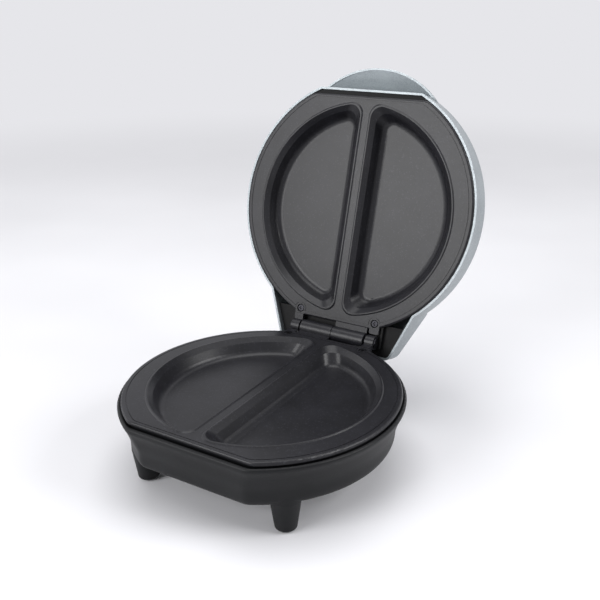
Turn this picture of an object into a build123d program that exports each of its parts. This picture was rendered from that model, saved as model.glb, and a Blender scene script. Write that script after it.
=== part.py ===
from build123d import *
import os
from math import cos, radians, sin

# Electric omelette maker, lid standing open. Millimetres, +Z up, front of the cooker towards -Y.
# The origin is on the table, under the middle of the open cooker.

# ---- where the cooker stands ---------------------------------------------------------------------
plate_centre_y = -52.3        # centre of the round plates, ahead of the origin
land_height = 64.7            # flat top of the lower plate above the table
closed_gap = 2.0              # between the two lands when the lid is shut
lid_travel = 106.3            # swing of the lid in degrees, from shut to its stop

# ---- cooking plates, one casting used twice ------------------------------------------------------
lip_radius = 108.3
lip_flat = 14.2               # how much nearer the straight front is than the round lip
plate_skin = 2.6
lip_corner = 12.0
lip_round = 1.6
land_step = 3.8               # from the lip's outline to the thin line round the land
land_step_front = 2.7
land_step_rear = 3.65
land_line_width = 0.6
land_line_depth = 0.45
plate_rear_cut = 5.7          # the casting's straight rear edge, inside the round lip
tab_reach = 3.4               # of the two hinge tabs behind that edge
tab_corner = 1.5
pocket_margin = 16.0          # from the round lip to the foot of the bead round a pocket
pocket_back = 3.0             # centre of the pockets' round wall behind the lip's centre
pocket_side = 3.0             # from the plate's middle to the foot of the bead
pocket_corner = 10.0
pocket_depth = 13.0
pocket_wall_inset = 4.4       # from the bead's foot to the steep wall, at the land's height
pocket_wall_run = 5.9         # how far that wall comes in on its way down
pocket_floor_round = 6.0
bead_height = 0.8
bead_run = 0.9                # outer slope of the bead
bead_crest = 1.0
bead_round = 0.4
mouth_drop = 4.0              # depth to which the pocket's edge is bevelled

# ---- hinge ---------------------------------------------------------------------------------------
hinge_setback = 7.1           # axis behind the rear edge of the tabs
knuckle_radius = 6.8
knuckle_length = 30.7
knuckle_gap = 0.3             # from the cooker's middle to each knuckle
ear_start = 33.0
ear_width = 8.0
ear_radius = 6.0
tab_overlap = 1.0             # tab beyond the outer face of the ear
hinge_pin_radius = 2.0
hinge_fit = 0.05
pin_overhang = 1.4
pin_clip_thickness = 0.8
pin_clip_radius = 4.4

# ---- plate fixings -------------------------------------------------------------------------------
plate_screw_inset = 4.0       # from the inner edge of a tab
plate_screw_setback = 9.0     # from the rear edge of a tab
plate_screw_shank = 1.5
plate_screw_length = 9.0
plate_screw_head = 3.2
plate_screw_head_height = 1.7
screw_play = 0.05             # round a shank
screw_recess_radius = 3.6
screw_recess_depth = 2.0
screw_collar = 5.0
slot_share = 0.3              # width of a driver slot, part of the head's radius
slot_depth_share = 0.6        # depth of a driver slot, part of the head's height
head_round_share = 0.4        # rounding of a head, part of its height
hook_x = 40.0
hook_width = 10.0
hook_leg = 2.5
hook_gap = 3.1                # from the leg to the seat's wall
hook_drop = 7.0
hook_toe = 3.9
hook_thickness = 2.0
hook_play = 0.4

# ---- heaters and what hangs under a plate --------------------------------------------------------
tube_radius = 3.25
tube_end_x = 10.0
tube_end_inset = 2.0          # tube ends inside the shield's edge
tube_run_inset = 28.0         # straight runs inside the shield's edge
tube_end_bend = 10.0
tube_bend = 22.0
pin_radius = 1.25
pin_length = 9.0
strap_width = 9.0
strap_thickness = 1.2
strap_foot = 6.0
strap_play = 0.1
strap_y = 18.0
shield_inset = 8.3            # from the beads round the pockets
shield_inset_front = 16.3
shield_flare = 6.0
shield_height = 9.0
shield_thickness = 0.8
shield_gap = 2.2              # air under the heater
shield_stud_radius = 4.0
shield_stud_rear = 42.0
shield_stud_front = 30.0
shield_mouth_play = 8.0       # either side of the tube ends
control_y = 8.0
control_pad_drop = 9.0
control_cap_radius = 8.0
control_cap_height = 1.0
control_radius = 6.0
control_height = 6.0
control_screw_reach = 12.0
control_bracket_thickness = 0.8
control_bracket_width = 15.0
blade_x = 4.0
blade_width = 4.0
blade_thickness = 0.8
blade_length = 5.0
small_screw_shank = 1.25
small_screw_head = 2.8
small_screw_head_height = 1.6
small_screw_length = 7.0
wire_radius = 1.1
wire_bend = 1.6
lead_depth = 11.7             # leads run in the hollow under the divider
lead_rise = 20.0              # straight run from a control's blade
lead_slope = 8.0              # and the run that lifts it into the hollow
lead_side = 7.0               # from the cooker's middle
lead_loop = 3.0               # past the end of a heater's pin
lead_loop_step = 1.5
lead_offset = 2.0             # between the two leads from the terminal block

# ---- base housing --------------------------------------------------------------------------------
edge_overhang = 2.9           # housing beyond the lower plate's lip
room_under_shield = 14.1      # from the shield's floor to the housing's bottom
housing_foot_round = 6.5
low_wall_inset = 7.7          # wall above the rounded foot, inside the shoulder
mid_wall_inset = 5.2
mid_wall_height = 20.0        # above the housing's bottom
shoulder_drop = 5.5           # shoulder below the land
shoulder_lip = 1.8
shoulder_round = 1.5
flare_power = 1.2
front_cut_low = 10.7          # how much nearer the flat front is than the round wall
front_cut_high = 12.7
housing_corner = 12.0
housing_wall = 2.5
housing_floor = 4.0
lip_gap = 1.0                 # round the plate's lip
lip_gap_front = 1.8
moat_drop = 7.2               # floor of the gap below the land
seat_inset = 2.8              # wall under the plate, inside its lip
seat_inset_front = 1.3
seat_wall = 2.2
notch_play = 4.0              # either side of the tabs
notch_drop = 7.7
rear_bar_play = 2.0
rear_bar_width = 3.5
rear_bar_reach = 4.0          # back of the bar, behind the plate's screws
rear_bar_drop = 14.7
boss_radius = 4.6

# ---- feet and the bottom cover -------------------------------------------------------------------
foot_inset = 11.5             # feet inside the low wall
front_foot_turn = 42.9        # degrees from straight ahead
rear_foot_turn = 28.0         # degrees from straight back, so that the open lid doesn't tip the cooker
foot_top_radius = 11.5
foot_bottom_radius = 8.0
foot_socket = 6.5
foot_play = 0.2
foot_edge = 2.2
foot_lug_radius = 14.0
foot_lug_height = 5.0
pad_radius = 5.6
pad_height = 3.0
pad_proud = 0.9
pad_edge = 0.6
foot_screw_shank = 2.0
foot_screw_head = 3.6
foot_screw_head_height = 2.2
foot_screw_length = 18.0
cover_clear = 2.3             # bottom cover inside the feet's lugs
cover_play = 0.3
cover_thickness = 2.0
cover_ledge = 9.7
cover_screw_inset = 4.7
cover_screw_turns = (45, 135, 225, 315)
cover_screw_length = 9.0
cover_boss_height = 7.0
vent_inset = 31.7
vent_length = 18.0
vent_width = 3.0
vent_count = 12

# ---- mains inlet ---------------------------------------------------------------------------------
inlet_rise = 12.5             # above the housing's bottom
inlet_inset = 2.8             # flat for the bush, inside the wall
bush_radius = 7.5
bush_flange = 2.0
bush_neck = 6.0
bush_play = 0.1
bush_bore = 3.4
bush_grip = 2.9               # wall that the bush holds
bush_back = 2.9
clamp_setback = 15.2          # from the flat
clamp_half = 13.0
clamp_depth = 7.0
clamp_thickness = 3.0
clamp_post_x = 9.0
clamp_post_radius = 3.5
clamp_post_height = 8.0
block_width = 13.0
block_depth = 18.0
block_height = 9.0
block_gap = 1.7               # beside the clamp
block_setback = 14.0          # ahead of the clamp
block_hole = 1.6

# ---- lid cover -----------------------------------------------------------------------------------
rim_gap = 1.0                 # rim above the shut upper plate's land
rim_overhang = 2.1            # beyond the upper plate's lip
rim_flat = 10.9               # how much nearer the straight front is than the round rim
rim_corner = 4.0
cover_wall = 1.8
wall_height = 20.3            # upright wall above the rim
dome_rise = 17.0
dome_run = 45.0
dome_run_front = 38.0
tail_reach = 13.9             # tail behind the hinge axis
tail_lead = 29.1              # where its sides leave the round wall, ahead of the hinge axis
tail_inset = 0.4
tail_taper = 17.25
tail_corner = 9.0
tail_drop = 7.0
tail_back_rise = 16.3
visor_radius = 76.0
visor_reach = 20.8            # beyond the straight front of the rim
visor_lift = 14.3             # above the rim
visor_edge = 2.6
visor_skin = 1.6              # left above the recess
visor_rise = 17.4
visor_run = 35.3              # how far its top slopes back to the dome
visor_bury = 10.0             # and on into the dome
recess_rim = 1.6
lens_x = 10.0
lens_y = -46.0
lens_radius = 4.4
lens_flange = 6.2
lens_flange_height = 1.5
lens_proud = 0.8
lens_edge = 0.64
lens_play = 0.1
lamp_radius = 2.5
lamp_tray_half = 22.0
lamp_tray_depth = 13.0
lamp_tray_height = 8.5
lamp_tray_wall = 1.5

# ---- lid liner -----------------------------------------------------------------------------------
liner_play = 0.2
liner_thickness = 2.0
liner_clear = 2.2             # opening outside the beads round the pockets
liner_front_opening = 60.0
liner_skirt = 12.0
liner_screw_inset = 3.1
cheek_play = 1.0              # beside the tabs
cheek_wall = 1.8
cheek_lead = 0.5              # ahead of the rear bar
cheek_reach = 4.9             # behind the hinge axis
liner_back_rise = 5.3         # its back wall above the cover's rim

# ---- sizes that follow ---------------------------------------------------------------------------
lip_front = lip_radius - lip_flat
plate_rear = lip_radius - plate_rear_cut
tab_rear = plate_rear + tab_reach
land_rear = plate_rear - land_step_rear
pocket_radius = lip_radius - pocket_margin
pocket_front = pocket_radius - pocket_back
hinge_reach = tab_rear + hinge_setback
hinge_y = plate_centre_y + hinge_reach
hinge_height = land_height + closed_gap / 2
ear_end = ear_start + ear_width
tab_inner = ear_start
tab_outer = ear_end + tab_overlap
plate_screw_x = tab_inner + plate_screw_inset
plate_screw_y = tab_rear - plate_screw_setback
pocket_underside = pocket_depth + plate_skin
shield_radius = pocket_radius - shield_inset
shield_front = pocket_front - shield_inset_front
tube_depth = pocket_underside + tube_radius
tube_end_y = shield_radius - tube_end_inset
tube_run = shield_radius - tube_run_inset
shield_floor = pocket_underside + 2 * tube_radius + shield_gap
shield_mouth = tube_end_x + shield_mouth_play
control_seat = control_pad_drop + control_cap_height
small_hole = small_screw_shank + screw_play

shoulder_radius = lip_radius + edge_overhang
shoulder_height = land_height - shoulder_drop
housing_bottom = land_height - shield_floor - shield_thickness - room_under_shield
housing_mid_height = housing_bottom + mid_wall_height
housing_low_radius = shoulder_radius - low_wall_inset
housing_mid_radius = shoulder_radius - mid_wall_inset
moat_radius = lip_radius + lip_gap
moat_front = lip_front + lip_gap_front
moat_floor = land_height - moat_drop
seat_radius = lip_radius - seat_inset
seat_front = lip_front - seat_inset_front
hook_y = seat_front - seat_wall - hook_leg - hook_gap
notch_half = tab_outer + notch_play
notch_floor = land_height - notch_drop
rear_bar_half = tab_outer + rear_bar_play
rear_bar_back = plate_screw_y + rear_bar_reach
rear_bar_front = rear_bar_back - rear_bar_width
rear_bar_bottom = land_height - rear_bar_drop

foot_circle = housing_low_radius - foot_inset
foot_seat = housing_bottom + foot_socket
cover_radius = foot_circle - foot_lug_radius - cover_clear
cover_opening = cover_radius - cover_ledge
cover_screw_circle = cover_radius - cover_screw_inset
cover_vent_circle = cover_radius - vent_inset
inlet_height = housing_bottom + inlet_rise
inlet_flat = housing_mid_radius - inlet_inset
clamp_y = inlet_flat - clamp_setback
block_x = -clamp_half - block_gap - block_width / 2
block_y = clamp_y - block_setback

rim_height = land_height + closed_gap + rim_gap
rim_radius = lip_radius + rim_overhang
rim_front = rim_radius - rim_flat
dome_start = rim_height + wall_height
dome_top = dome_start + dome_rise
tail_rear = hinge_reach + tail_reach
tail_start_y = hinge_reach - tail_lead
tail_start_half = (rim_radius ** 2 - tail_start_y ** 2) ** 0.5 - tail_inset
tail_rear_half = tail_start_half - tail_taper
tail_top = dome_top - tail_drop
tail_back_height = rim_height + tail_back_rise
visor_front = rim_front + visor_reach
visor_top_reach = visor_front - visor_run
visor_root = visor_top_reach - visor_bury
visor_height = rim_height + visor_lift
liner_inner = pocket_radius + liner_clear
liner_screw_place = (liner_inner + liner_screw_inset) * cos(radians(45))
cheek_inner = tab_outer + cheek_play
cheek_front = rear_bar_front - cheek_lead
cheek_back = hinge_reach + cheek_reach
liner_back_height = rim_height + liner_back_rise

# ---- planes and places ---------------------------------------------------------------------------
table = Plane((0, plate_centre_y, 0))
cast = Plane.XY               # a plate's own frame: land at 0, cooking side up
lower_place = table.offset(land_height).location
shut_place = Plane((0, plate_centre_y, land_height + closed_gap), x_dir=(-1, 0, 0), z_dir=(0, 0, -1)).location
opening = Pos(0, hinge_y, hinge_height) * Rot(-lid_travel, 0, 0) * Pos(0, -hinge_y, -hinge_height)
upper_place = opening * shut_place


def write(part, name):
    part.label = name
    export_step(part, f"parts/{name}.step")


os.makedirs("parts", exist_ok=True)


# Outline of a disc cut off straight at the front, both corners rounded.
def flat_front_disc(radius, front, corner):
    Circle(radius)
    with Locations((0, -front - radius)):
        Rectangle(2 * radius, 2 * radius, mode=Mode.SUBTRACT)
    fillet(vertices().group_by(Axis.Y)[0], corner)


# Outline of one pocket, drawn in from the foot of its bead.
def half_moon(side, inset):
    size = 2 * pocket_radius
    with Locations(Location((0, pocket_back, 0), (0, 0, 90))):
        Circle(pocket_radius - inset)
    with Locations((side * (pocket_side + inset - pocket_radius), pocket_back)):
        Rectangle(size, size, mode=Mode.SUBTRACT)
    fillet(vertices(), pocket_corner)


# A solid between two such outlines at two heights.
def moon_frustum(side, low, low_inset, high, high_inset):
    with BuildPart() as solid:
        for height, inset in ((low, low_inset), (high, high_inset)):
            with BuildSketch(cast.offset(height)):
                half_moon(side, inset)
        loft(ruled=True)
    return solid.part


# The space of a pocket, or with a skin the outside of the casting round it.
def pocket_solid(side, skin):
    inset = pocket_wall_inset - skin
    with BuildPart() as solid:
        add(moon_frustum(side, -pocket_depth - skin, inset + pocket_wall_run, 0, inset))
        fillet(solid.faces().sort_by(Axis.Z)[0].edges(), pocket_floor_round + skin / 2)
    return solid.part


# Plane across the hinge axis of a plate casting, seen from its right.
axle = Plane((0, hinge_reach, closed_gap / 2), x_dir=(0, 1, 0), z_dir=(1, 0, 0))


# Both places of a pair either side of the cooker's middle.
def pair(x, y):
    return [(-x, y), (x, y)]


# A straight-sided boss or disc at each point of a plane.
def discs(plane, points, radius, height, mode=Mode.ADD):
    with BuildSketch(plane) as outline:
        with Locations(*points):
            Circle(radius)
    extrude(outline.sketch, amount=height, mode=mode)


# A block or slab at each point of a plane.
def blocks(plane, points, width, depth, height, mode=Mode.ADD):
    with BuildSketch(plane) as outline:
        with Locations(*points):
            Rectangle(width, depth)
    extrude(outline.sketch, amount=height, mode=mode)


# Cross-head screws whose heads sit on a plane and whose shanks go down through it.
def screws(seat, points, shank, length, head, head_height):
    with BuildPart() as group:
        discs(seat, points, head, head_height)
        tops = group.faces().sort_by(Axis(seat.origin, seat.z_dir))[-len(points):]
        fillet(tops.edges(), head_height * head_round_share)
        discs(seat, points, shank, -length)
        slot_depth = head_height * slot_depth_share
        for width, depth in ((head, head * slot_share), (head * slot_share, head)):
            blocks(seat.offset(head_height), points, width, depth, -slot_depth, Mode.SUBTRACT)
    return group.part


# The flat land of a plate: inside the thin line, which goes round the two screws.
def land_outline():
    flat_front_disc(lip_radius - land_step, lip_front - land_step_front, lip_corner)
    with Locations((0, land_rear + lip_radius)):
        Rectangle(2 * lip_radius, 2 * lip_radius, mode=Mode.SUBTRACT)
    with Locations(*pair(plate_screw_x, plate_screw_y)):
        Circle(screw_collar, mode=Mode.SUBTRACT)


# ---- the plate casting ---------------------------------------------------------------------------
web_reach = hinge_reach - plate_rear
mouth_inset = bead_run + bead_crest
hinge_drop = closed_gap / 2 + plate_skin
studs = [(0, -shield_stud_front), (0, shield_stud_rear)]
control_screws = [(0, control_y - control_screw_reach), (0, control_y + control_screw_reach)]
plate_screws = pair(plate_screw_x, plate_screw_y)
under_skin = cast.offset(-plate_skin / 2)

with BuildPart() as plate:
    with BuildSketch(cast):
        flat_front_disc(lip_radius, lip_front, lip_corner)
        with Locations((0, plate_rear + lip_radius)):
            Rectangle(2 * lip_radius, 2 * lip_radius, mode=Mode.SUBTRACT)
    extrude(amount=-plate_skin)
    fillet(plate.faces().sort_by(Axis.Z)[-1].edges(), lip_round)
    for side in (1, -1):
        add(moon_frustum(side, 0, 0, bead_height, bead_run))
    fillet(plate.faces().sort_by(Axis.Z)[-2:].edges(), bead_round)
    for side in (1, -1):
        with BuildSketch(cast):
            with Locations((side * (tab_inner + tab_outer) / 2, tab_rear - screw_collar)):
                RectangleRounded(tab_outer - tab_inner, 2 * screw_collar, tab_corner)
        extrude(amount=-plate_skin)
        add(pocket_solid(side, plate_skin))
    # knuckle on the left and ear on the right, each with the web that carries it
    with BuildSketch(axle.offset(-knuckle_gap)):
        Circle(knuckle_radius)
        with Locations((-web_reach / 2, -hinge_drop + plate_skin / 2)):
            Rectangle(web_reach + tab_corner, plate_skin)
    extrude(amount=-knuckle_length)
    with BuildSketch(axle.offset(ear_start)):
        Circle(ear_radius)
        with Locations((-web_reach / 2, -hinge_drop / 2)):
            Rectangle(web_reach + tab_corner, hinge_drop)
    extrude(amount=ear_width)
    # studs for the heat shield, pad and bosses for the control, hooks at the front
    discs(under_skin, studs, shield_stud_radius, -(shield_floor - plate_skin / 2))
    discs(under_skin, [(0, control_y)], control_radius, -(control_pad_drop - plate_skin / 2))
    discs(under_skin, control_screws, small_screw_head, -(control_seat - plate_skin / 2))
    blocks(under_skin, pair(hook_x, -hook_y - hook_leg / 2), hook_width, hook_leg,
           -hook_drop - plate_skin / 2)
    blocks(cast.offset(-hook_drop - plate_skin), pair(hook_x, -hook_y - (hook_leg + hook_toe) / 2),
           hook_width, hook_leg + hook_toe, -hook_thickness)
    # pockets with their bevelled edges, and the line round the land
    for side in (1, -1):
        add(pocket_solid(side, 0), mode=Mode.SUBTRACT)
        add(moon_frustum(side, -mouth_drop, mouth_inset + bead_height + mouth_drop, bead_height, mouth_inset),
            mode=Mode.SUBTRACT)
    with BuildSketch(cast.offset(-land_line_depth)):
        land_outline()
        offset(amount=-land_line_width, mode=Mode.SUBTRACT)
    extrude(amount=2 * land_line_depth, mode=Mode.SUBTRACT)
    # recessed screw holes, hinge bore and pilot holes
    discs(cast, plate_screws, screw_recess_radius, -screw_recess_depth, Mode.SUBTRACT)
    discs(cast, plate_screws, plate_screw_shank + screw_play, -2 * plate_skin, Mode.SUBTRACT)
    with BuildSketch(axle):
        Circle(hinge_pin_radius + hinge_fit)
    extrude(amount=tab_outer, both=True, mode=Mode.SUBTRACT)
    discs(cast.offset(-shield_floor), studs, small_hole, small_screw_length, Mode.SUBTRACT)
    discs(cast.offset(-control_seat), control_screws, small_hole, small_screw_length, Mode.SUBTRACT)

# ---- heater, straps and shield -------------------------------------------------------------------
heater_points = [(tube_end_x, tube_end_y), (tube_end_x, tube_run), (tube_run, tube_run),
                 (tube_run, -tube_run), (-tube_run, -tube_run), (-tube_run, tube_run),
                 (-tube_end_x, tube_run), (-tube_end_x, tube_end_y)]
heater_bends = [tube_end_bend, tube_bend, tube_bend, tube_bend, tube_bend, tube_end_bend]
terminal_plane = Plane((0, tube_end_y, -tube_depth), x_dir=(1, 0, 0), z_dir=(0, 1, 0))

with BuildPart() as heater:
    with BuildLine() as heater_path:
        FilletPolyline(*[(x, y, -tube_depth) for x, y in heater_points], radius=heater_bends)
    with BuildSketch(Plane((tube_end_x, tube_end_y, -tube_depth), z_dir=(0, -1, 0))):
        Circle(tube_radius)
    sweep(path=heater_path.wire())

with BuildPart() as heater_pins:
    discs(terminal_plane, [(-tube_end_x, 0), (tube_end_x, 0)], pin_radius, pin_length)

# A strap goes round the tube and stands on the casting on both sides of it.
strap_hollow = tube_radius + strap_play
with BuildPart() as strap:
    with BuildSketch(Plane((0, -strap_width / 2, -pocket_underside), x_dir=(1, 0, 0), z_dir=(0, -1, 0))):
        with Locations((0, -strap_thickness / 2)):
            Rectangle(2 * (strap_hollow + strap_foot), strap_thickness)
        with Locations((0, -strap_hollow / 2)):
            Rectangle(2 * (strap_hollow + strap_thickness), strap_hollow)
        with Locations((0, -strap_hollow)):
            Circle(strap_hollow + strap_thickness)
        with Locations((0, -strap_hollow / 2)):
            Rectangle(2 * strap_hollow, strap_hollow, mode=Mode.SUBTRACT)
        with Locations((0, -strap_hollow)):
            Circle(strap_hollow, mode=Mode.SUBTRACT)
        with Locations((0, strap_hollow)):
            Rectangle(4 * strap_hollow, 2 * strap_hollow, mode=Mode.SUBTRACT)
    extrude(amount=-strap_width)

with BuildPart() as straps:
    with Locations(*[(x, y, 0) for x, y in pair(tube_run, strap_y) + pair(tube_run, -strap_y)]):
        add(strap.part)


# The tray's shape from its floor to its flared rim, lifted by a given amount.
def shield_form(lift):
    with BuildPart() as form:
        with BuildSketch(cast.offset(-shield_floor - shield_thickness + lift)):
            flat_front_disc(shield_radius, shield_front, lip_corner)
        with BuildSketch(cast.offset(-shield_floor - shield_thickness + lift + shield_height)):
            flat_front_disc(shield_radius + shield_flare, shield_front + shield_flare, lip_corner)
        loft(ruled=True)
    return form.part


with BuildPart() as shield:
    add(shield_form(0))
    add(shield_form(shield_thickness), mode=Mode.SUBTRACT)
    discs(cast, studs, small_hole, -2 * shield_floor, Mode.SUBTRACT)
    blocks(cast, [(0, tube_end_y + shield_mouth)], 2 * shield_mouth, 2 * shield_mouth + shield_thickness,
           -2 * shield_floor, Mode.SUBTRACT)

# ---- temperature control on the casting, and its leads -------------------------------------------
with BuildPart() as control:
    discs(cast.offset(-control_pad_drop), [(0, control_y)], control_cap_radius, -control_cap_height)
    discs(cast.offset(-control_seat), [(0, control_y)], control_radius, -control_height)
    blocks(cast.offset(-control_seat - control_height), pair(blade_x, control_y), blade_width,
           blade_thickness, -blade_length)

with BuildPart() as control_bracket:
    blocks(cast.offset(-control_seat), [(0, control_y)], control_bracket_width,
           2 * (control_screw_reach + small_screw_head), -control_bracket_thickness)
    discs(cast, [(0, control_y)], control_radius + screw_play, -2 * control_seat, Mode.SUBTRACT)
    discs(cast, control_screws, small_hole, -2 * control_seat, Mode.SUBTRACT)


# A round lead along straight runs with rounded turns.
def lead(points):
    with BuildPart() as wire:
        with BuildLine() as route:
            FilletPolyline(*points, radius=wire_bend)
        with BuildSketch(Plane(route.wire() @ 0, z_dir=route.wire() % 0)):
            Circle(wire_radius)
        sweep(path=route.wire())
    return wire.part


blade_depth = control_seat + control_height + blade_length / 2
lead_start_y = control_y + blade_thickness / 2
pin_end_y = tube_end_y + pin_length
lead_lift_y = control_y + lead_rise
lead_level_y = lead_lift_y + lead_slope
loop_y = pin_end_y + lead_loop
control_lead = lead([(blade_x, lead_start_y, -blade_depth), (blade_x, lead_lift_y, -blade_depth),
                     (lead_side, lead_level_y, -lead_depth), (lead_side, loop_y, -lead_depth),
                     (tube_end_x, loop_y + lead_loop_step, -tube_depth),
                     (tube_end_x, pin_end_y, -tube_depth)])

# ---- both plates with what they carry ------------------------------------------------------------
under = Plane.XY.rotated((180, 0, 0))
shield_seat = under.offset(shield_floor + shield_thickness)
bracket_seat = under.offset(control_seat + control_bracket_thickness)
plate_screw_set = screws(cast.offset(-screw_recess_depth), plate_screws, plate_screw_shank,
                         plate_screw_length, plate_screw_head, plate_screw_head_height)
shield_screw_set = screws(shield_seat, [(0, shield_stud_front), (0, -shield_stud_rear)],
                          small_screw_shank, small_screw_length, small_screw_head,
                          small_screw_head_height)
control_screw_set = screws(bracket_seat, [(x, -y) for x, y in control_screws], small_screw_shank,
                           small_screw_length, small_screw_head, small_screw_head_height)
carried = {"plate": plate.part, "heating_element": heater.part, "element_pins": heater_pins.part,
           "element_straps": straps.part, "heat_shield": shield.part, "control_bracket": control_bracket.part,
           "plate_screws": plate_screw_set, "shield_screws": shield_screw_set,
           "control_screws": control_screw_set}
for side_name, place in (("lower", lower_place), ("upper", upper_place)):
    for piece_name, piece in carried.items():
        write(piece.moved(place), f"{side_name}_{piece_name}")
write(control.part.moved(lower_place), "thermostat")
write(control.part.moved(upper_place), "thermal_cutout")

# ---- base housing --------------------------------------------------------------------------------
low_height = housing_bottom + housing_foot_round
plate_underside = land_height - plate_skin
seat_inner = seat_radius - seat_wall
seat_inner_front = seat_front - seat_wall
housing_floor_height = housing_bottom + housing_floor
rear_feet = pair(foot_circle * sin(radians(rear_foot_turn)), foot_circle * cos(radians(rear_foot_turn)))
front_feet = pair(foot_circle * sin(radians(front_foot_turn)), -foot_circle * cos(radians(front_foot_turn)))
foot_places = rear_feet + front_feet
cover_screws = [(cover_screw_circle * cos(radians(turn)), cover_screw_circle * sin(radians(turn)))
                for turn in cover_screw_turns]
clamp_posts = pair(clamp_post_x, clamp_y)
hook_slots = pair(hook_x, -hook_y - hook_leg - hook_toe / 2)
inlet_wall = Plane((0, plate_centre_y + inlet_flat, inlet_height), x_dir=(-1, 0, 0), z_dir=(0, 1, 0))


# Radius of the round wall and depth of the flat front at a height: rounded foot, upright, flared shoulder.
def housing_size(height):
    foot = max(low_height - height, 0) / housing_foot_round
    flare = max(height - housing_mid_height, 0) / (shoulder_height - housing_mid_height)
    lean = min(max(height - low_height, 0) / (housing_mid_height - low_height), 1)
    radius = housing_low_radius - housing_foot_round * (1 - (1 - foot ** 2) ** 0.5)
    radius += lean * (housing_mid_radius - housing_low_radius)
    radius += flare ** flare_power * (shoulder_radius - housing_mid_radius)
    return radius, radius - front_cut_low - flare * (front_cut_high - front_cut_low)


with BuildPart() as housing_hollow:
    for height, radius, front in ((housing_floor_height, housing_size(housing_floor_height)[0] - housing_wall,
                                   housing_size(housing_floor_height)[1] - housing_wall),
                                  (moat_floor, seat_inner, seat_inner_front)):
        with BuildSketch(table.offset(height)):
            flat_front_disc(radius, front, housing_corner - housing_wall)
    loft(ruled=True)
    discs(table, foot_places, foot_lug_radius, foot_seat + foot_lug_height, Mode.SUBTRACT)
    discs(table, cover_screws, boss_radius, housing_floor_height + cover_boss_height, Mode.SUBTRACT)
    discs(table, clamp_posts, clamp_post_radius, housing_floor_height + clamp_post_height, Mode.SUBTRACT)

with BuildPart() as housing:
    foot_steps = [housing_bottom + housing_foot_round * (1 - cos(radians(turn))) for turn in (0, 30, 60, 90)]
    flare_rise = shoulder_height - housing_mid_height
    flare_steps = [housing_mid_height + flare_rise * step / 3 for step in range(4)]
    for height in foot_steps + flare_steps:
        with BuildSketch(table.offset(height)):
            flat_front_disc(*housing_size(height), housing_corner)
    loft()
    with BuildSketch(table.offset(shoulder_height)):
        flat_front_disc(*housing_size(shoulder_height), housing_corner)
    extrude(amount=shoulder_lip)
    fillet(housing.faces().sort_by(Axis.Z)[-1].edges(), shoulder_round)
    add(housing_hollow.part, mode=Mode.SUBTRACT)
    with BuildSketch(table.offset(moat_floor)):
        flat_front_disc(moat_radius, moat_front, housing_corner)
    extrude(amount=shoulder_height, mode=Mode.SUBTRACT)
    with BuildSketch(table.offset(moat_floor)):
        flat_front_disc(seat_radius, seat_front, housing_corner)
        offset(amount=-seat_wall, mode=Mode.SUBTRACT)
    extrude(amount=plate_underside - moat_floor)
    # the rear is cut down for the hinge, a bar and two bosses carry the plate there
    blocks(table.offset(notch_floor), [(0, rear_bar_back + lip_radius)], 2 * notch_half, 2 * lip_radius,
           shoulder_height, Mode.SUBTRACT)
    blocks(table.offset(rear_bar_bottom), [(0, (rear_bar_front + rear_bar_back) / 2)], 2 * rear_bar_half,
           rear_bar_back - rear_bar_front, plate_underside - rear_bar_bottom)
    discs(table.offset(rear_bar_bottom), plate_screws, boss_radius, plate_underside - rear_bar_bottom)
    discs(table.offset(plate_underside), plate_screws, plate_screw_shank + screw_play, -plate_screw_length,
          Mode.SUBTRACT)
    # slots that the plate's front hooks slide into
    blocks(table.offset(plate_underside - hook_drop + hook_play), hook_slots, hook_width + 2 * hook_play,
           hook_toe + 2 * hook_play, -hook_thickness - 2 * hook_play, Mode.SUBTRACT)
    # feet, bottom cover, inlet and clamp
    discs(table, foot_places, foot_top_radius + foot_play, foot_seat, Mode.SUBTRACT)
    discs(table, foot_places, foot_screw_shank + screw_play, shoulder_height, Mode.SUBTRACT)
    discs(table, [(0, 0)], cover_opening, housing_floor_height, Mode.SUBTRACT)
    discs(table, [(0, 0)], cover_radius + cover_play, housing_bottom + cover_thickness, Mode.SUBTRACT)
    discs(table, cover_screws, small_hole, housing_bottom + cover_screw_length, Mode.SUBTRACT)
    discs(inlet_wall, [(0, 0)], bush_neck + bush_play, -housing_foot_round, Mode.SUBTRACT)
    blocks(inlet_wall, [(0, 0)], 2 * bush_radius + housing_floor, 2 * bush_radius + bush_flange,
           housing_foot_round, Mode.SUBTRACT)
    discs(table.offset(housing_floor_height + clamp_post_height), clamp_posts, small_hole,
          -small_screw_length, Mode.SUBTRACT)
write(housing.part, "base_housing")

with BuildPart() as bottom_cover:
    discs(table.offset(housing_bottom), [(0, 0)], cover_radius, cover_thickness)
    discs(table, cover_screws, small_hole, housing_bottom + cover_thickness, Mode.SUBTRACT)
    with BuildSketch(table.offset(housing_bottom)):
        with PolarLocations(cover_vent_circle, vent_count):
            SlotOverall(vent_length, vent_width)
    extrude(amount=cover_thickness, mode=Mode.SUBTRACT)
write(bottom_cover.part, "bottom_cover")
under_base = Plane((0, plate_centre_y, housing_bottom), x_dir=(1, 0, 0), z_dir=(0, 0, -1))
write(screws(under_base, cover_screws, small_screw_shank, cover_screw_length, small_screw_head,
             small_screw_head_height), "bottom_cover_screws")

# ---- feet ----------------------------------------------------------------------------------------
with BuildPart() as foot:
    with BuildSketch(Plane.XZ):
        with BuildLine():
            Polyline((0, pad_proud), (foot_bottom_radius, pad_proud), (foot_top_radius, housing_bottom),
                     (foot_top_radius, foot_seat), (0, foot_seat), close=True)
        make_face()
        fillet(vertices().group_by(Axis.Y)[0].sort_by(Axis.X)[-1], foot_edge)
    revolve(axis=Axis.Z)
    discs(Plane.XY, [(0, 0)], pad_radius, pad_height, Mode.SUBTRACT)
    discs(Plane.XY.offset(foot_seat), [(0, 0)], foot_screw_shank + screw_play, -foot_screw_length,
          Mode.SUBTRACT)

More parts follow.
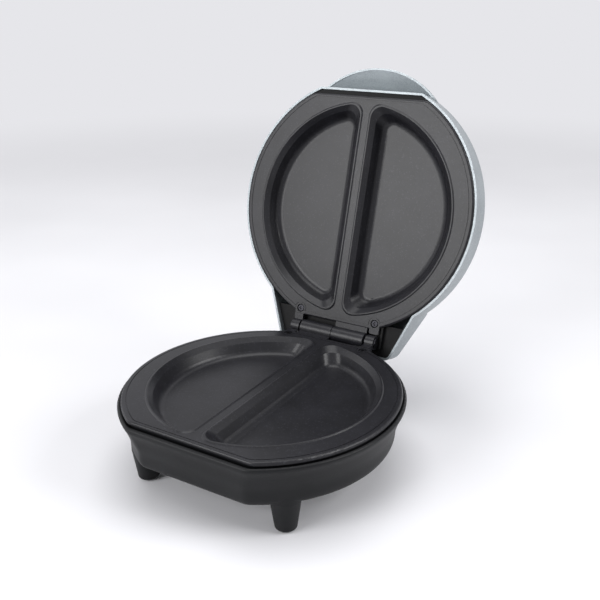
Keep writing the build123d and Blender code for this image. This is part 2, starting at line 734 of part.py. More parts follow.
with BuildPart() as pad:
    discs(Plane.XY, [(0, 0)], pad_radius, pad_height)
    fillet(pad.edges().group_by(Axis.Z)[0], pad_edge)

foot_names = ("foot_rear_left", "foot_rear_right", "foot_front_left", "foot_front_right")
for foot_name, (x, y) in zip(foot_names, foot_places):
    write(foot.part.moved(Pos(x, y + plate_centre_y, 0)), foot_name)
with BuildPart() as pads:
    with Locations(*[(x, y + plate_centre_y, 0) for x, y in foot_places]):
        add(pad.part)
write(pads.part, "foot_pads")
write(screws(table.offset(foot_seat + foot_lug_height), foot_places, foot_screw_shank, foot_screw_length,
             foot_screw_head, foot_screw_head_height), "foot_screws")

# ---- mains inlet ---------------------------------------------------------------------------------
with BuildPart() as bush:
    discs(inlet_wall, [(0, 0)], bush_radius, bush_flange)
    fillet(bush.edges().group_by(Axis.Y)[-1], bush_flange / 2)
    discs(inlet_wall, [(0, 0)], bush_neck, -bush_grip - bush_back)
    discs(inlet_wall.offset(-bush_grip), [(0, 0)], bush_radius, -bush_back)
    discs(inlet_wall.offset(-inlet_flat), [(0, 0)], bush_bore, 2 * inlet_flat, Mode.SUBTRACT)
write(bush.part, "cord_bush")

clamp_height = housing_floor_height + clamp_post_height
with BuildPart() as clamp:
    blocks(table.offset(clamp_height), [(0, clamp_y)], 2 * clamp_half, clamp_depth, clamp_thickness)
    discs(table, clamp_posts, small_hole, shoulder_height, Mode.SUBTRACT)
write(clamp.part, "cord_clamp")
write(screws(table.offset(clamp_height + clamp_thickness), clamp_posts, small_screw_shank, small_screw_length,
             small_screw_head, small_screw_head_height), "cord_clamp_screws")

inner_hole = block_x + block_width / 4
outer_hole = block_x - block_width / 4
with BuildPart() as terminal_block:
    blocks(table.offset(housing_floor_height), [(block_x, block_y)], block_width, block_depth, block_height)
    discs(table, [(outer_hole, block_y), (inner_hole, block_y)], block_hole,
          housing_floor_height + 2 * block_height, Mode.SUBTRACT)
write(terminal_block.part, "terminal_block")

block_back = plate_centre_y + block_y + block_depth / 2
block_lead_height = housing_floor_height + block_height / 2
pin_height = land_height - tube_depth
lead_height = land_height - lead_depth
blade_height = land_height - blade_depth
pin_end = plate_centre_y + pin_end_y
turn_y = plate_centre_y + loop_y
base_leads = [
    lead([(inner_hole, block_back, block_lead_height), (inner_hole, turn_y, block_lead_height),
          (inner_hole, turn_y, pin_height), (-tube_end_x, turn_y + lead_loop_step, pin_height),
          (-tube_end_x, pin_end, pin_height)]),
    lead([(outer_hole, block_back, block_lead_height), (outer_hole, turn_y - lead_offset, block_lead_height),
          (outer_hole, turn_y - lead_offset, lead_height), (-lead_side, turn_y - lead_offset, lead_height),
          (-lead_side, plate_centre_y + lead_level_y, lead_height),
          (-blade_x, plate_centre_y + lead_lift_y, blade_height),
          (-blade_x, plate_centre_y + lead_start_y, blade_height)])]
with BuildPart() as base_wiring:
    for piece in base_leads:
        add(piece)
    add(control_lead.moved(lower_place))
write(base_wiring.part, "base_wiring")

# ---- hinge pin -----------------------------------------------------------------------------------
hinge = Plane((0, hinge_y, hinge_height), x_dir=(0, 1, 0), z_dir=(1, 0, 0))
with BuildPart() as hinge_pin:
    with BuildSketch(hinge):
        Circle(hinge_pin_radius)
    extrude(amount=ear_end + pin_overhang, both=True)
write(hinge_pin.part, "hinge_pin")
with BuildPart() as pin_clips:
    for side in (1, -1):
        with BuildSketch(hinge.offset(side * (ear_end + knuckle_gap))):
            Circle(pin_clip_radius)
            Circle(hinge_pin_radius, mode=Mode.SUBTRACT)
        extrude(amount=side * pin_clip_thickness)
write(pin_clips.part, "hinge_pin_clips")

# ---- lid cover, drawn shut and then swung open ---------------------------------------------------
upper_underside = land_height + closed_gap + plate_skin
side_view = Plane((0, plate_centre_y, 0), x_dir=(0, 1, 0), z_dir=(1, 0, 0))
lens_places = pair(lens_x, lens_y)
tail_plan = [(-tail_start_half, 0), (-tail_start_half, tail_start_y), (-tail_rear_half, tail_rear),
             (tail_rear_half, tail_rear), (tail_start_half, tail_start_y), (tail_start_half, 0)]
liner_screws = pair(liner_screw_place, liner_screw_place) + pair(liner_screw_place, -liner_screw_place)


# The round part of the cover: upright wall, then a quarter of an ellipse up to the flat of the crown.
def dome_solid(skin):
    rise = dome_top - dome_start - skin
    with BuildPart() as dome:
        with BuildSketch(table.offset(rim_height)):
            flat_front_disc(rim_radius - skin, rim_front - skin, rim_corner - skin)
        extrude(amount=dome_start - rim_height)
        for turn in range(0, 91, 15):
            run = 1 - cos(radians(turn))
            with BuildSketch(table.offset(dome_start + rise * sin(radians(turn)))):
                flat_front_disc(rim_radius - skin - dome_run * run, rim_front - skin - dome_run_front * run,
                                rim_corner - skin + rim_corner * run)
        loft()
    return dome.part


# The tail behind the hinge: straight sides in plan, a top that slopes to the rear.
def tail_solid(skin):
    with BuildPart() as tail:
        with BuildSketch(table.offset(rim_height)):
            with BuildLine():
                Polyline(*tail_plan, close=True)
            make_face()
            fillet(vertices().group_by(Axis.Y)[-1], tail_corner)
            if skin > 0:
                offset(amount=-skin)
        extrude(amount=dome_top - rim_height)
        with BuildSketch(side_view):
            with BuildLine():
                Polyline((0, rim_height), (tail_rear - skin, rim_height),
                         (tail_rear - skin, tail_back_height - skin), (tail_start_y, tail_top - skin),
                         (0, tail_top - skin), close=True)
            make_face()
            fillet(vertices().group_by(Axis.X)[-1].sort_by(Axis.Y)[-1], tail_corner)
        extrude(amount=2 * rim_radius, both=True, mode=Mode.INTERSECT)
    return tail.part


# The visor over the finger recess, moved down and in by a skin to give the recess.
def visor_solid(drop, inset):
    with BuildPart() as visor:
        for height, reach in ((visor_height - drop, visor_front),
                              (visor_height + visor_edge - drop, visor_front),
                              (visor_height + visor_rise - drop, visor_top_reach)):
            with BuildSketch(table.offset(height)):
                with Locations((0, visor_radius - reach)):
                    Circle(visor_radius - inset)
                with Locations((0, visor_radius - visor_root)):
                    Rectangle(4 * visor_radius, 2 * visor_radius, mode=Mode.SUBTRACT)
        loft(ruled=True)
    return visor.part


with BuildPart() as cover_posts:
    discs(table.offset(upper_underside + 2 * liner_thickness), liner_screws, boss_radius - liner_play,
          dome_top)
    add(dome_solid(cover_wall / 2), mode=Mode.INTERSECT)

with BuildPart() as recess:
    add(visor_solid(visor_skin, recess_rim))
    blocks(table, [(0, 0)], 4 * visor_radius, 2 * rim_front, dome_top, Mode.SUBTRACT)

with BuildPart() as lid_cover:
    add(dome_solid(0))
    add(tail_solid(0))
    add(visor_solid(0, 0))
    add(dome_solid(cover_wall), mode=Mode.SUBTRACT)
    add(tail_solid(cover_wall), mode=Mode.SUBTRACT)
    add(recess.part, mode=Mode.SUBTRACT)
    add(cover_posts.part)
    discs(table.offset(upper_underside), liner_screws, small_hole,
          2 * liner_thickness + small_screw_length, Mode.SUBTRACT)
    discs(table.offset(dome_top - 2 * cover_wall), lens_places, lens_radius + lens_play, 4 * cover_wall,
          Mode.SUBTRACT)
write(lid_cover.part.moved(opening), "lid_cover")

# ---- indicator windows and lamps -----------------------------------------------------------------
crown_inside = dome_top - cover_wall
lens_names = ("power_lens", "ready_lens")
for lens_name, place in zip(lens_names, lens_places):
    with BuildPart() as lens:
        discs(table.offset(crown_inside), [place], lens_radius, cover_wall + lens_proud)
        fillet(lens.edges().group_by(Axis.Z)[-1], lens_edge)
        discs(table.offset(crown_inside), [place], lens_flange, -lens_flange_height)
    write(lens.part.moved(opening), lens_name)
tray_inner_half = lamp_tray_half - lamp_tray_wall
with BuildPart() as lamp_tray:
    blocks(table.offset(crown_inside), [(0, lens_y)], 2 * lamp_tray_half, lamp_tray_depth, -lamp_tray_height)
    blocks(table.offset(crown_inside), [(0, lens_y)], 2 * tray_inner_half, 2 * lamp_tray_depth,
           lamp_tray_wall - lamp_tray_height, Mode.SUBTRACT)
write(lamp_tray.part.moved(opening), "lamp_tray")
with BuildPart() as lamps:
    discs(table.offset(crown_inside - lens_flange_height), lens_places, lamp_radius,
          lens_flange_height + lamp_tray_wall - lamp_tray_height)
write(lamps.part.moved(opening), "lamps")

# ---- lid liner -----------------------------------------------------------------------------------
liner_outer = rim_radius - cover_wall - liner_play
liner_front = rim_front - cover_wall - liner_play
liner_hook_height = upper_underside + hook_drop
with BuildPart() as liner:
    with BuildSketch(table.offset(upper_underside)):
        flat_front_disc(liner_outer, liner_front, housing_corner)
        Circle(liner_inner, mode=Mode.SUBTRACT)
        with Locations((0, -seat_inner_front / 2)):
            Rectangle(2 * liner_front_opening, seat_inner_front, mode=Mode.SUBTRACT)
    extrude(amount=liner_thickness)
    with BuildSketch(table.offset(upper_underside)):
        flat_front_disc(seat_radius, seat_front, housing_corner)
        offset(amount=-seat_wall, mode=Mode.SUBTRACT)
    extrude(amount=liner_skirt)
    discs(table.offset(upper_underside), liner_screws, boss_radius, 2 * liner_thickness)
    # opened at the rear for the hinge, with a bar and bosses for the plate, cheeks and a back wall
    blocks(table.offset(upper_underside), [(0, rear_bar_back + lip_radius)], 2 * cheek_inner, 2 * lip_radius,
           liner_back_height - upper_underside, Mode.SUBTRACT)
    blocks(table.offset(upper_underside), [(0, (rear_bar_front + rear_bar_back) / 2)], 2 * cheek_inner,
           rear_bar_back - rear_bar_front, liner_skirt)
    discs(table.offset(upper_underside), plate_screws, boss_radius, liner_skirt)
    cheek_middle = cheek_inner + cheek_wall / 2
    blocks(table.offset(upper_underside), pair(cheek_middle, (cheek_front + cheek_back) / 2), cheek_wall,
           cheek_back - cheek_front, liner_back_height - upper_underside)
    with BuildSketch(table.offset(liner_back_height)):
        with BuildLine():
            Polyline(*tail_plan, close=True)
        make_face()
        fillet(vertices().group_by(Axis.Y)[-1], tail_corner)
        offset(amount=-cover_wall - liner_play)
        with Locations((0, rear_bar_front - lip_radius)):
            Rectangle(2 * lip_radius, 2 * lip_radius, mode=Mode.SUBTRACT)
    extrude(amount=liner_thickness)
    discs(table.offset(upper_underside), plate_screws, plate_screw_shank + screw_play, plate_screw_length,
          Mode.SUBTRACT)
    blocks(table.offset(liner_hook_height - hook_play), hook_slots, hook_width + 2 * hook_play,
           hook_toe + 2 * hook_play, hook_thickness + 2 * hook_play, Mode.SUBTRACT)
    discs(table.offset(upper_underside), liner_screws, small_hole, 3 * liner_thickness,
          Mode.SUBTRACT)
    discs(table.offset(upper_underside), liner_screws, small_screw_head + screw_play,
          small_screw_head_height + screw_play, Mode.SUBTRACT)
write(liner.part.moved(opening), "lid_liner")
liner_screw_seat = Plane((0, plate_centre_y, upper_underside + small_screw_head_height + screw_play),
                         x_dir=(1, 0, 0), z_dir=(0, 0, -1))
write(screws(liner_screw_seat, liner_screws, small_screw_shank, small_screw_length, small_screw_head,
             small_screw_head_height).moved(opening), "liner_screws")
with BuildPart() as lid_wiring:
    add(control_lead.moved(upper_place))
write(lid_wiring.part, "lid_wiring")
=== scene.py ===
import bpy
import math
from mathutils import Matrix, Vector

# Electric omelette maker, lid standing open. Metres, +Z up, front of the cooker towards -Y.

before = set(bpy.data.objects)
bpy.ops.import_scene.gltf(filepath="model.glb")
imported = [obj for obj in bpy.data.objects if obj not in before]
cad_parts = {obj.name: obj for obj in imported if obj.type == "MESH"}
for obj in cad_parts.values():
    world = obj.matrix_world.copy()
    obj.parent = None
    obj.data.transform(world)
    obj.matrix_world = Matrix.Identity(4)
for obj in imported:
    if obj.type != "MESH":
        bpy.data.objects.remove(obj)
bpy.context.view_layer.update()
print("frame loaded:", len(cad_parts), "pieces")


def linear(hexColour):
    # each sRGB channel c becomes c / 12.92 up to 0.04045 and ((c + 0.055) / 1.055) ^ 2.4 above it
    channels = [int(hexColour[i:i + 2], 16) / 255 for i in (1, 3, 5)]
    return [c / 12.92 if c <= 0.04045 else ((c + 0.055) / 1.055) ** 2.4 for c in channels] + [1.0]


def perMillimetre(size):
    # a pattern that repeats every "size" millimetres, on coordinates in metres
    return 1000.0 / size


def addNode(tree, kind, settings={}, links={}):
    # A setting is a property of the node or the value of a socket, and "stops" are the
    # (position, hex) pairs of a colour ramp. A link leads from a socket to the one it names.
    node = tree.nodes.new(kind)
    for name, value in settings.items():
        if name == "stops":
            elements = node.color_ramp.elements
            while len(elements) < len(value):
                elements.new(1.0)
            for element, (position, colour) in zip(elements, value):
                element.position = position
                element.color = linear(colour)
        elif hasattr(node, str(name)):
            setattr(node, name, value)
        else:
            node.inputs[name].default_value = value
    for name, source in links.items():
        tree.links.new(source, node.inputs[name])
    return node


def startMaterial(name, shaderSettings):
    material = bpy.data.materials.new(name)
    material.use_nodes = True
    tree = material.node_tree
    tree.nodes.clear()
    place = addNode(tree, "ShaderNodeTexCoord").outputs["Object"]
    shader = addNode(tree, "ShaderNodeBsdfPrincipled", shaderSettings)
    addNode(tree, "ShaderNodeOutputMaterial", links={"Surface": shader.outputs["BSDF"]})
    return material, tree, place, shader


def feed(tree, shader, colour, shine=None, relief=None):
    # the pattern's sockets go to those of the shader
    tree.links.new(colour, shader.inputs["Base Color"])
    if shine:
        tree.links.new(shine, shader.inputs["Roughness"])
    if relief:
        tree.links.new(relief, shader.inputs["Normal"])


def cloudedFinish(name, look, shaderSettings):
    # one noise sets both the tone and, between roughStart and roughEnd, the roughness
    material, tree, place, shader = startMaterial(name, shaderSettings)
    cloud = addNode(tree, "ShaderNodeTexNoise",
                    {"Scale": perMillimetre(look["cloud"]), "Detail": look["cloudDetail"]},
                    {"Vector": place})
    colour = addNode(tree, "ShaderNodeValToRGB", {"stops": look["tones"]},
                     {"Fac": cloud.outputs["Fac"]})
    shine = addNode(tree, "ShaderNodeMapRange",
                    {"To Min": look["roughStart"], "To Max": look["roughEnd"]},
                    {"Value": cloud.outputs["Fac"]})
    feed(tree, shader, colour.outputs["Color"], shine.outputs["Result"])
    return material


def dress(material, *names):
    for name in names:
        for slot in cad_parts[name].material_slots:
            slot.material = material


# Black satin ABS of the housing, injection moulded in a spark-eroded tool: a near-black skin whose
# fine grain spreads the light into soft wide highlights.
satinAbs = {
    "tones": [(0.3, "#0b0c0e"), (0.7, "#111214")],
    "cloud": 34.0,        # mm, slow drift of the black
    "cloudDetail": 3.0,
    "grain": 1.3,         # mm, the real 0.2 mm grain is drawn this coarse so that it shows
    "grainDetail": 2.0,
    "grainDepth": 0.00002,
    "grainStrength": 0.5,
    "roughLow": 0.42,
    "roughHigh": 0.52,
    "ior": 1.54,
    "gloss": 0.2,         # the grain swallows part of the mirror
}
housingMaterial, tree, place, shader = startMaterial(
    "satinAbs", {"IOR": satinAbs["ior"], "Specular IOR Level": satinAbs["gloss"]})
cloud = addNode(tree, "ShaderNodeTexNoise",
                {"Scale": perMillimetre(satinAbs["cloud"]), "Detail": satinAbs["cloudDetail"]},
                {"Vector": place})
grain = addNode(tree, "ShaderNodeTexNoise",
                {"Scale": perMillimetre(satinAbs["grain"]), "Detail": satinAbs["grainDetail"]},
                {"Vector": place})
colour = addNode(tree, "ShaderNodeValToRGB", {"stops": satinAbs["tones"]},
                 {"Fac": cloud.outputs["Fac"]})
shine = addNode(tree, "ShaderNodeMapRange",
                {"To Min": satinAbs["roughLow"], "To Max": satinAbs["roughHigh"]},
                {"Value": grain.outputs["Fac"]})
relief = addNode(tree, "ShaderNodeBump",
                 {"Strength": satinAbs["grainStrength"], "Distance": satinAbs["grainDepth"]},
                 {"Height": grain.outputs["Fac"]})
feed(tree, shader, colour.outputs["Color"], shine.outputs["Result"], relief.outputs["Normal"])
dress(housingMaterial, "base_housing", "bottom_cover",
      "foot_front_left", "foot_front_right", "foot_rear_left", "foot_rear_right")

# Matt black glass-filled PBT of the lid's liner, moulded: a dry, deep black with faint flow marks.
mattPbt = {
    "tones": [(0.3, "#040405"), (0.7, "#09090a")],
    "fibre": 2.2,         # mm, flow marks of the glass fibre
    "fibreDetail": 4.0,
    "fibreWarp": 0.6,     # how far the marks are drawn out of line
    "fibreDepth": 0.00003,
    "fibreStrength": 0.5,
    "roughLow": 0.55,
    "roughHigh": 0.7,
    "ior": 1.57,
    "gloss": 0.2,
}
linerMaterial, tree, place, shader = startMaterial(
    "mattPbt", {"IOR": mattPbt["ior"], "Specular IOR Level": mattPbt["gloss"]})
flow = addNode(tree, "ShaderNodeTexNoise",
               {"Scale": perMillimetre(mattPbt["fibre"]), "Detail": mattPbt["fibreDetail"],
                "Distortion": mattPbt["fibreWarp"]}, {"Vector": place})
colour = addNode(tree, "ShaderNodeValToRGB", {"stops": mattPbt["tones"]},
                 {"Fac": flow.outputs["Fac"]})
shine = addNode(tree, "ShaderNodeMapRange",
                {"To Min": mattPbt["roughLow"], "To Max": mattPbt["roughHigh"]},
                {"Value": flow.outputs["Fac"]})
relief = addNode(tree, "ShaderNodeBump",
                 {"Strength": mattPbt["fibreStrength"], "Distance": mattPbt["fibreDepth"]},
                 {"Height": flow.outputs["Fac"]})
feed(tree, shader, colour.outputs["Color"], shine.outputs["Result"], relief.outputs["Normal"])
dress(linerMaterial, "lid_liner")

# Sprayed PTFE on die-cast aluminium, cured: dark grey and satin, with a slight orange peel and
# small mica specks that catch the light.
nonStick = {
    "tones": [(0.3, "#18181b"), (0.7, "#202024")],
    "cloud": 26.0,        # mm, uneven spray
    "cloudDetail": 4.0,
    "peel": 2.4,          # mm, orange peel
    "peelDetail": 2.0,
    "peelDepth": 0.00004,
    "peelStrength": 0.5,
    "fleck": "#36363c",
    "fleckSize": 0.9,     # mm, the real 0.1 mm specks are drawn this coarse so that they show
    "fleckShare": 0.06,   # of the cells
    "fleckStrength": 0.45,
    "roughLow": 0.3,
    "roughHigh": 0.38,
    "ior": 1.36,
}
plateMaterial, tree, place, shader = startMaterial("ptfeOnCastAluminium", {"IOR": nonStick["ior"]})
cloud = addNode(tree, "ShaderNodeTexNoise",
                {"Scale": perMillimetre(nonStick["cloud"]), "Detail": nonStick["cloudDetail"]},
                {"Vector": place})
peel = addNode(tree, "ShaderNodeTexNoise",
               {"Scale": perMillimetre(nonStick["peel"]), "Detail": nonStick["peelDetail"]},
               {"Vector": place})
speck = addNode(tree, "ShaderNodeTexVoronoi", {"Scale": perMillimetre(nonStick["fleckSize"])},
                {"Vector": place})
cell = addNode(tree, "ShaderNodeSeparateColor", links={"Color": speck.outputs["Color"]})
fleck = addNode(tree, "ShaderNodeMath", {"operation": "LESS_THAN", 1: nonStick["fleckShare"]},
                {0: cell.outputs["Red"]})
faint = addNode(tree, "ShaderNodeMath", {"operation": "MULTIPLY", 1: nonStick["fleckStrength"]},
                {0: fleck.outputs["Value"]})
sprayed = addNode(tree, "ShaderNodeValToRGB", {"stops": nonStick["tones"]},
                  {"Fac": cloud.outputs["Fac"]})
flecked = addNode(tree, "ShaderNodeMix", {"data_type": "RGBA", "B": linear(nonStick["fleck"])},
                  {"Factor": faint.outputs["Value"], "A": sprayed.outputs["Color"]})
shine = addNode(tree, "ShaderNodeMapRange",
                {"To Min": nonStick["roughLow"], "To Max": nonStick["roughHigh"]},
                {"Value": peel.outputs["Fac"]})
relief = addNode(tree, "ShaderNodeBump",
                 {"Strength": nonStick["peelStrength"], "Distance": nonStick["peelDepth"]},
                 {"Height": peel.outputs["Fac"]})
feed(tree, shader, flecked.outputs["Result"], shine.outputs["Result"], relief.outputs["Normal"])
dress(plateMaterial, "lower_plate", "upper_plate")

# Silver metallic lacquer on the lid's ABS cover: fine aluminium flake under a satin clear coat, so a
# soft even silver with blurred lights.
silverLacquer = {
    "tones": [(0.4, "#80878b"), (0.9, "#979ea2")],
    "flake": 0.8,         # mm, the real 0.03 mm flake is drawn this coarse so that it shows
    "flakeShare": 0.35,   # weight of the flake in the tone, beside the cloud's 1
    "cloud": 40.0,        # mm, uneven spray
    "cloudDetail": 3.0,
    "metal": 0.42,        # share of the flake that lies flat
    "coat": 0.25,
    "coatRough": 0.25,
    "roughLow": 0.36,
    "roughHigh": 0.48,
}
coverMaterial, tree, place, shader = startMaterial(
    "silverLacquer", {"Metallic": silverLacquer["metal"], "Coat Weight": silverLacquer["coat"],
                      "Coat Roughness": silverLacquer["coatRough"]})
flake = addNode(tree, "ShaderNodeTexVoronoi", {"Scale": perMillimetre(silverLacquer["flake"])},
                {"Vector": place})
cloud = addNode(tree, "ShaderNodeTexNoise",
                {"Scale": perMillimetre(silverLacquer["cloud"]),
                 "Detail": silverLacquer["cloudDetail"]}, {"Vector": place})
sparkle = addNode(tree, "ShaderNodeSeparateColor", links={"Color": flake.outputs["Color"]})
mixed = addNode(tree, "ShaderNodeMath",
                {"operation": "MULTIPLY_ADD", 1: silverLacquer["flakeShare"]},
                {0: sparkle.outputs["Green"], 2: cloud.outputs["Fac"]})
colour = addNode(tree, "ShaderNodeValToRGB", {"stops": silverLacquer["tones"]},
                 {"Fac": mixed.outputs["Value"]})
shine = addNode(tree, "ShaderNodeMapRange",
                {"To Min": silverLacquer["roughLow"], "To Max": silverLacquer["roughHigh"]},
                {"Value": sparkle.outputs["Blue"]})
feed(tree, shader, colour.outputs["Color"], shine.outputs["Result"])
dress(coverMaterial, "lid_cover")

# Bright zinc plate on cold-headed steel of the small screws and straps: a cool silver with clouds.
zincPlate = {
    "tones": [(0.3, "#9b9da1"), (0.7, "#c4c6c9")],
    "cloud": 3.0,         # mm, passivation clouds
    "cloudDetail": 3.0,
    "roughStart": 0.4,
    "roughEnd": 0.24,
}
zincMaterial = cloudedFinish("zincPlatedSteel", zincPlate, {"Metallic": 1.0})
dress(zincMaterial, "bottom_cover_screws", "cord_clamp_screws", "foot_screws", "liner_screws")
for side in ("lower", "upper"):
    dress(zincMaterial, side + "_element_straps", side + "_shield_screws",
          side + "_control_screws", side + "_control_bracket", side + "_element_pins")

# Blackened steel of the plate screws and the hinge's axle and clips: phosphate and oil, dark with a
# dull shine.
blackSteel = {
    "tones": [(0.3, "#2a2a2d"), (0.7, "#3d3d41")],
    "cloud": 1.5,         # mm, phosphate crystal patches
    "cloudDetail": 3.0,
    "roughStart": 0.35,
    "roughEnd": 0.5,
}
dress(cloudedFinish("phosphatedSteel", blackSteel, {"Metallic": 1.0}),
      "lower_plate_screws", "upper_plate_screws", "hinge_pin", "hinge_pin_clips")

# Aluminised steel sheet of the heat shields, pressed: dull silver with a coarse spangle.
aluminised = {
    "tones": [(0.0, "#8b8d8f"), (1.0, "#b0b2b3")],
    "spangle": 7.0,       # mm, crystals of the dip coat
    "roughLow": 0.36,
    "roughHigh": 0.52,
}
shieldMaterial, tree, place, shader = startMaterial("aluminisedSteel", {"Metallic": 1.0})
spangle = addNode(tree, "ShaderNodeTexVoronoi", {"Scale": perMillimetre(aluminised["spangle"])},
                  {"Vector": place})
facet = addNode(tree, "ShaderNodeSeparateColor", links={"Color": spangle.outputs["Color"]})
colour = addNode(tree, "ShaderNodeValToRGB", {"stops": aluminised["tones"]},
                 {"Fac": facet.outputs["Red"]})
shine = addNode(tree, "ShaderNodeMapRange",
                {"To Min": aluminised["roughLow"], "To Max": aluminised["roughHigh"]},
                {"Value": facet.outputs["Green"]})
feed(tree, shader, colour.outputs["Color"], shine.outputs["Result"])
dress(shieldMaterial, "lower_heat_shield", "upper_heat_shield")

# Stainless tube of the heaters, drawn and then run hot: straw and blue temper clouds on grey steel.
temperedTube = {
    "tones": [(0.3, "#77787a"), (0.52, "#8a7a5c"), (0.72, "#5d6577")],   # cold, straw, blue
    "cloud": 18.0,        # mm, temper colours
    "cloudDetail": 3.0,
    "roughStart": 0.35,
    "roughEnd": 0.5,
}
dress(cloudedFinish("temperedStainless", temperedTube, {"Metallic": 1.0}),
      "lower_heating_element", "upper_heating_element")

# Ivory phenolic of the blocks inside, compression moulded: a warm matt cream with fine filler.
phenolic = {
    "tones": [(0.3, "#cdc6b4"), (0.7, "#ddd8ca")],
    "cloud": 1.6,         # mm, wood-flour filler
    "cloudDetail": 4.0,
    "roughStart": 0.42,
    "roughEnd": 0.56,
    "ior": 1.6,
}
dress(cloudedFinish("ivoryPhenolic", phenolic, {"IOR": phenolic["ior"]}),
      "terminal_block", "thermostat", "thermal_cutout", "lamp_tray", "cord_clamp")

# Varnished glass braid over the wires: off-white, with the slanting threads of the braid.
glassBraid = {
    "tones": [(0.2, "#a9a392"), (0.6, "#e2ddd0")],   # gap, thread
    "pitch": 1.1,         # mm, the bands of the wave come out about twice this far apart
    "wobble": 1.5,
    "depth": 0.00012,
    "strength": 0.6,
    "lay": 45.0,          # degrees across the wire
    "rough": 0.6,
    "ior": 1.5,
}
braidMaterial, tree, place, shader = startMaterial(
    "glassBraid", {"IOR": glassBraid["ior"], "Roughness": glassBraid["rough"]})
turned = addNode(tree, "ShaderNodeMapping",
                 {"Rotation": (0.0, 0.0, math.radians(glassBraid["lay"]))}, {"Vector": place})
weave = addNode(tree, "ShaderNodeTexWave",
                {"Scale": perMillimetre(glassBraid["pitch"]) / math.tau,
                 "Distortion": glassBraid["wobble"]}, {"Vector": turned.outputs["Vector"]})
colour = addNode(tree, "ShaderNodeValToRGB", {"stops": glassBraid["tones"]},
                 {"Fac": weave.outputs["Fac"]})
relief = addNode(tree, "ShaderNodeBump",
                 {"Strength": glassBraid["strength"], "Distance": glassBraid["depth"]},
                 {"Height": weave.outputs["Fac"]})
feed(tree, shader, colour.outputs["Color"], relief=relief.outputs["Normal"])
dress(braidMaterial, "base_wiring", "lid_wiring")

# Black PVC of the cord bush and nitrile of the foot pads, moulded: dead matt with a faint bloom.
softBlack = {
    "tones": [(0.3, "#141415"), (0.75, "#222223")],
    "cloud": 5.0,         # mm, wax bloom on the skin
    "cloudDetail": 4.0,
    "roughStart": 0.6,
    "roughEnd": 0.8,
    "ior": 1.52,
}
dress(cloudedFinish("mouldedRubber", softBlack, {"IOR": softBlack["ior"]}),
      "cord_bush", "foot_pads")

# Tinted polycarbonate of the two windows, moulded: clear strong colour over slanting flutes that
# spread the light.
tintedLens = {
    # piece: (finish, tones)
    "windows": {
        "power_lens": ("redPolycarbonate", [(0.1, "#8f0f10"), (0.7, "#d6201c")]),
        "ready_lens": ("greenPolycarbonate", [(0.1, "#11682a"), (0.7, "#2fae4a")]),
    },
    "flute": 1.2,         # mm, the flutes come out about two and a half times this far apart
    "fluteDepth": 0.0001,
    "fluteStrength": 0.4,
    "clear": 0.55,        # share of the light that passes
    "rough": 0.12,
    "ior": 1.58,
}
for window, (name, tones) in tintedLens["windows"].items():
    lensMaterial, tree, place, shader = startMaterial(
        name, {"IOR": tintedLens["ior"], "Roughness": tintedLens["rough"],
               "Transmission Weight": tintedLens["clear"]})
    flutes = addNode(tree, "ShaderNodeTexWave",
                     {"bands_direction": "DIAGONAL",
                      "Scale": perMillimetre(tintedLens["flute"]) / math.tau}, {"Vector": place})
    colour = addNode(tree, "ShaderNodeValToRGB", {"stops": tones}, {"Fac": flutes.outputs["Fac"]})
    relief = addNode(tree, "ShaderNodeBump",
                     {"Strength": tintedLens["fluteStrength"],
                      "Distance": tintedLens["fluteDepth"]}, {"Height": flutes.outputs["Fac"]})
    feed(tree, shader, colour.outputs["Color"], relief=relief.outputs["Normal"])
    dress(lensMaterial, window)

# Soda glass of the glow lamps, blown: clear, with a thin sputtered mist.
lampGlass = {
    "tones": [(0.4, "#e8ecec"), (0.8, "#cfc3b4")],   # clear, mist
    "cloud": 2.0,         # mm, sputtered film inside the glass
    "cloudDetail": 2.0,
    "roughStart": 0.04,
    "roughEnd": 0.16,
    "clear": 0.8,         # share of the light that passes
    "ior": 1.5,
}
dress(cloudedFinish("glowLampGlass", lampGlass,
                    {"IOR": lampGlass["ior"], "Transmission Weight": lampGlass["clear"]}), "lamps")
print("finishes on:", len(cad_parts), "pieces")

# Pale table top, which turns into the backdrop some way from the cooker, and plain soft lamps.
floorLook = {
    "tones": [(0.3, "#e3e3e7"), (0.7, "#eaeaee")],
    "cloud": 300.0,       # mm, very faint unevenness
    "rough": 0.6,
    "half": 12.0,         # m
    "below": 0.0002,      # m under the pads
    "fadeStart": 0.6,     # m from the middle
    "fadeEnd": 1.8,
}
studio = {
    "air": "#ffffff",
    "airStrength": 0.3,
    "backdrop": "#e6e6ea",
    "backdropStrength": 1.0,
    # name: (place in m, size in m, watts)
    "lamps": {
        "softFront": ((-0.62, -1.42, 0.72), 0.9, 18.5),
        "softTop": ((-0.1, 0.1, 1.7), 1.3, 16.0),
        "softRight": ((1.35, 0.35, 0.95), 0.8, 16.0),
        "softLeft": ((-1.5, -0.2, 0.8), 0.8, 3.0),
    },
    "aim": (0.0, 0.0, 0.12),
}
backdropLight = {"Color": linear(studio["backdrop"]), "Strength": studio["backdropStrength"]}


def seenDirectly(tree):
    # 1 for the rays that show the backdrop itself: straight, mirrored or through glass
    ray = addNode(tree, "ShaderNodeLightPath")
    mirrored = addNode(tree, "ShaderNodeMath", {"operation": "MAXIMUM"},
                       {0: ray.outputs["Is Camera Ray"], 1: ray.outputs["Is Glossy Ray"]})
    either = addNode(tree, "ShaderNodeMath", {"operation": "MAXIMUM"},
                     {0: mirrored.outputs["Value"], 1: ray.outputs["Is Transmission Ray"]})
    return either.outputs["Value"]


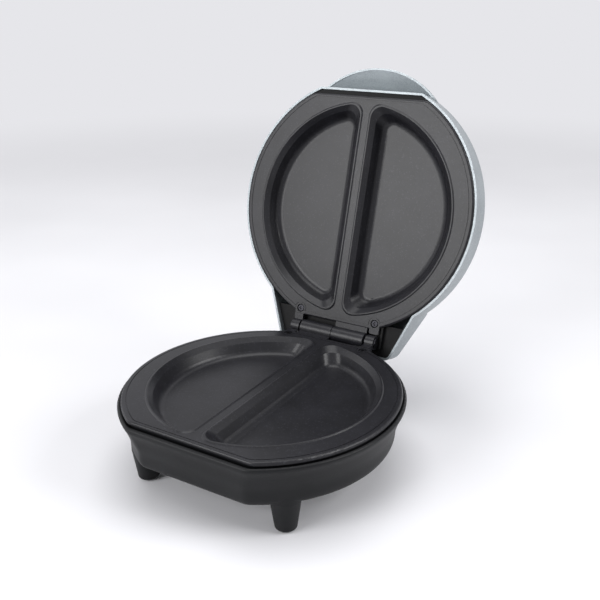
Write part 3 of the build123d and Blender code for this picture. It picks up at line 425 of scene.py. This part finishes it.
half, low = floorLook["half"], -floorLook["below"]
floorMesh = bpy.data.meshes.new("tableTop")
floorMesh.from_pydata([(-half, -half, low), (half, -half, low), (half, half, low), (-half, half, low)],
                      [], [(0, 1, 2, 3)])
floor = bpy.data.objects.new("tableTop", floorMesh)
bpy.context.scene.collection.objects.link(floor)
floorMaterial, tree, place, shader = startMaterial("paleTableTop", {"Roughness": floorLook["rough"]})
cloud = addNode(tree, "ShaderNodeTexNoise", {"Scale": perMillimetre(floorLook["cloud"])},
                {"Vector": place})
colour = addNode(tree, "ShaderNodeValToRGB", {"stops": floorLook["tones"]},
                 {"Fac": cloud.outputs["Fac"]})
feed(tree, shader, colour.outputs["Color"])
reach = addNode(tree, "ShaderNodeVectorMath", {"operation": "LENGTH"}, {0: place})
fade = addNode(tree, "ShaderNodeMapRange",
               {"interpolation_type": "SMOOTHSTEP", "From Min": floorLook["fadeStart"],
                "From Max": floorLook["fadeEnd"]}, {"Value": reach.outputs["Value"]})
share = addNode(tree, "ShaderNodeMath", {"operation": "MULTIPLY"},
                {0: fade.outputs["Result"], 1: seenDirectly(tree)})
glow = addNode(tree, "ShaderNodeEmission", backdropLight)
faded = addNode(tree, "ShaderNodeMixShader",
                links={0: share.outputs["Value"], 1: shader.outputs["BSDF"],
                       2: glow.outputs["Emission"]})
tree.links.new(faded.outputs["Shader"], tree.nodes["Material Output"].inputs["Surface"])
floorMesh.materials.append(floorMaterial)

world = bpy.data.worlds.new("studioAir")
bpy.context.scene.world = world
world.use_nodes = True
tree = world.node_tree
tree.nodes.clear()
air = addNode(tree, "ShaderNodeBackground",
              {"Color": linear(studio["air"]), "Strength": studio["airStrength"]})
seen = addNode(tree, "ShaderNodeBackground", backdropLight)
surround = addNode(tree, "ShaderNodeMixShader",
                   links={0: seenDirectly(tree), 1: air.outputs["Background"],
                          2: seen.outputs["Background"]})
addNode(tree, "ShaderNodeOutputWorld", links={"Surface": surround.outputs["Shader"]})
for name, (spot, size, watts) in studio["lamps"].items():
    lampData = bpy.data.lights.new(name, "AREA")
    lampData.size = size
    lampData.energy = watts
    lamp = bpy.data.objects.new(name, lampData)
    lamp.location = spot
    lamp.rotation_euler = (Vector(studio["aim"]) - Vector(spot)).to_track_quat("-Z", "Y").to_euler()
    bpy.context.scene.collection.objects.link(lamp)
print("light and floor ready")

# Camera at the photograph's viewing angle.
viewpoint = {
    "place": (0.32212, -0.52347, 0.36220),
    "turn": 31.39,        # degrees round from the front towards +X
    "tilt": 21.63,        # degrees above the horizon
    "roll": -0.50,        # degrees
    "lens": 49.477,       # mm
    "sensor": 36.0,       # mm
    "near": 0.01,         # m
}
turn, tilt, roll = (math.radians(viewpoint[key]) for key in ("turn", "tilt", "roll"))
back = Vector((math.sin(turn) * math.cos(tilt), -math.cos(turn) * math.cos(tilt), math.sin(tilt)))
right = Vector((math.cos(turn), math.sin(turn), 0.0))
up = back.cross(right)
across = math.cos(roll) * right + math.sin(roll) * up
over = math.cos(roll) * up - math.sin(roll) * right
camera = bpy.data.objects.new("camera", bpy.data.cameras.new("camera"))
camera.data.lens = viewpoint["lens"]
camera.data.sensor_width = viewpoint["sensor"]
camera.data.clip_start = viewpoint["near"]
axes = Matrix((across, over, back)).transposed().to_4x4()
camera.matrix_world = Matrix.Translation(viewpoint["place"]) @ axes
bpy.context.scene.collection.objects.link(camera)
bpy.context.scene.camera = camera
bpy.context.scene.view_settings.view_transform = "Standard"
print("camera ready")
